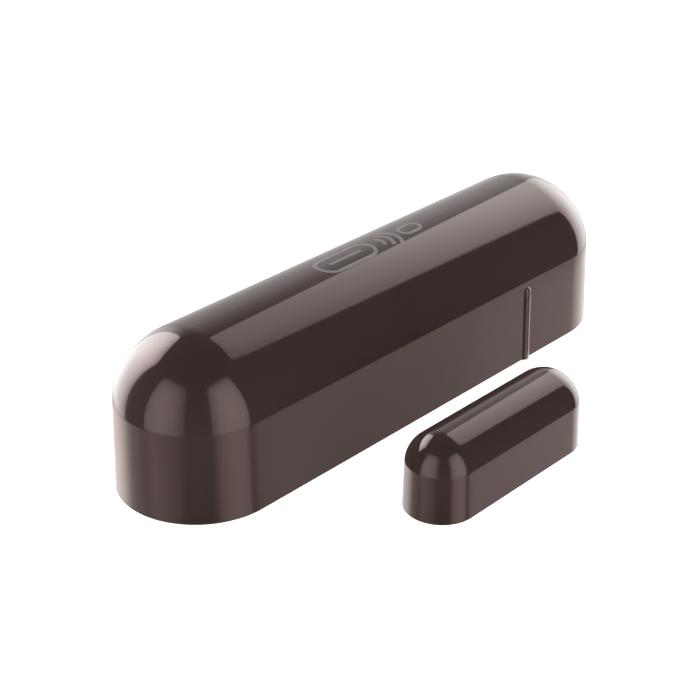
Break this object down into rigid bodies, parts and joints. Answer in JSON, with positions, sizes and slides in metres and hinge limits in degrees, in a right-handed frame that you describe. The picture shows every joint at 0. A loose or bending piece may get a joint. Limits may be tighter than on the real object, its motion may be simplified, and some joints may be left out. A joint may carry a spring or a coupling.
{
  "type": "door contact sensor",
  "caption": "Slim capsule-shaped wireless door contact: arched glossy sensor with push-fit shell, cell, board and reed switch, and a small matching magnet unit.",
  "frame": {"origin": "middle of the sensor's mounting face, in the plane it is stuck or screwed to", "axes": "+X along the sensor towards its alignment mark and reed switch, -Y towards the magnet unit, +Z out of the mounting surface"},
  "size_m": [0.076, 0.0372, 0.019],
  "materials": {
    "shell_gloss": "polished, dark brown",
    "base_plastic": "fine matt, dark brown",
    "adhesive_foam": "matt foam tape",
    "circuit_board": "green solder mask, satin",
    "screw_steel": "zinc plated",
    "cell_steel": "nickel plated",
    "cell_electrode": "matt black",
    "cell_sleeve": "shrunk film, green",
    "holder_plastic": "satin black",
    "contact_nickel": "bright nickel",
    "switch_plastic": "satin black",
    "plunger_plastic": "natural nylon",
    "terminal_plastic": "satin green",
    "terminal_brass": "plain brass",
    "tin_plate": "tinned",
    "antenna_wire": "enamelled copper",
    "reed_glass": "clear, faintly green",
    "reed_metal": "plated nickel-iron",
    "tantalum_resin": "moulded ochre",
    "ceramic": "fired tan",
    "resistor_black": "matt black",
    "led_white": "white",
    "led_lens": "tinted, clear",
    "magnet_metal": "nickel plated"
  },
  "bodies": {
    "sensor_back_plate": {"sensor_base": "base_plastic", "sensor_adhesive_pad": "adhesive_foam", "main_board": "circuit_board", "board_screws": "screw_steel", "cell_holder": "holder_plastic", "negative_contact": "contact_nickel", "negative_contact_spring": "contact_nickel", "positive_contact": "contact_nickel", "tamper_switch_body": "switch_plastic", "tamper_spring": "contact_nickel", "tamper_switch_pins": "tin_plate", "terminal_block": "terminal_plastic", "terminal_screws": "screw_steel", "terminal_clamps": "terminal_brass", "radio_module_board": "circuit_board", "radio_shield_can": "tin_plate", "radio_crystal": "contact_nickel", "antenna_coil": "antenna_wire", "reed_glass": "reed_glass", "reed_fixed_blade": "reed_metal", "reed_lead": "reed_metal", "tantalum_capacitor": "tantalum_resin", "ceramic_capacitors": "ceramic", "chip_resistors": "resistor_black", "status_led_body": "led_white", "status_led_lens": "led_lens"},
    "sensor_shell": {"sensor_cover": "shell_gloss"},
    "cell": {"cell_can": "cell_steel", "cell_core": "cell_electrode", "cell_lid": "cell_steel", "cell_wrap": "cell_sleeve"},
    "plunger": {"tamper_plunger": "plunger_plastic"},
    "reed_blade": {"reed_moving_blade": "reed_metal"},
    "magnet_back_plate": {"magnet_base": "base_plastic", "bar_magnet": "magnet_metal", "magnet_adhesive_pad": "adhesive_foam"},
    "magnet_shell": {"magnet_cover": "shell_gloss"}
  },
  "joints": [
    {"name": "cover_lift", "type": "slide", "parent": "sensor_back_plate", "child": "sensor_shell", "axis": [0, 0, 1], "range_m": [0, 0.045]},
    {"name": "battery_lift", "type": "slide", "parent": "sensor_back_plate", "child": "cell", "axis": [0, 0, 1], "range_m": [0, 0.018]},
    {"name": "tamper_travel", "type": "slide", "parent": "sensor_back_plate", "child": "plunger", "axis": [0, 0, -1], "range_m": [0, 0.001], "stiffness_N_per_m": 25, "springref_m": 0.002, "deforming": ["tamper_spring"]},
    {"name": "magnet_gap", "type": "slide", "parent": "sensor_back_plate", "child": "magnet_back_plate", "axis": [0, -1, 0], "range_m": [-0.0075, 0.05]},
    {"name": "magnet_cover_lift", "type": "slide", "parent": "magnet_back_plate", "child": "magnet_shell", "axis": [0, 0, 1], "range_m": [0, 0.025]},
    {"name": "reed_flex", "type": "hinge", "parent": "sensor_back_plate", "child": "reed_blade", "pos_m": [0.0132, -0.00583, 0.00428], "axis": [0, 1, 0], "range_deg": [-0.3, 1.95]}
  ],
  "couplings": [
    {"joint": "battery_lift", "follows": "cover_lift", "ratio": 0.4},
    {"joint": "reed_flex", "follows": "magnet_gap", "rad_per_m": 0.66}
  ]
}
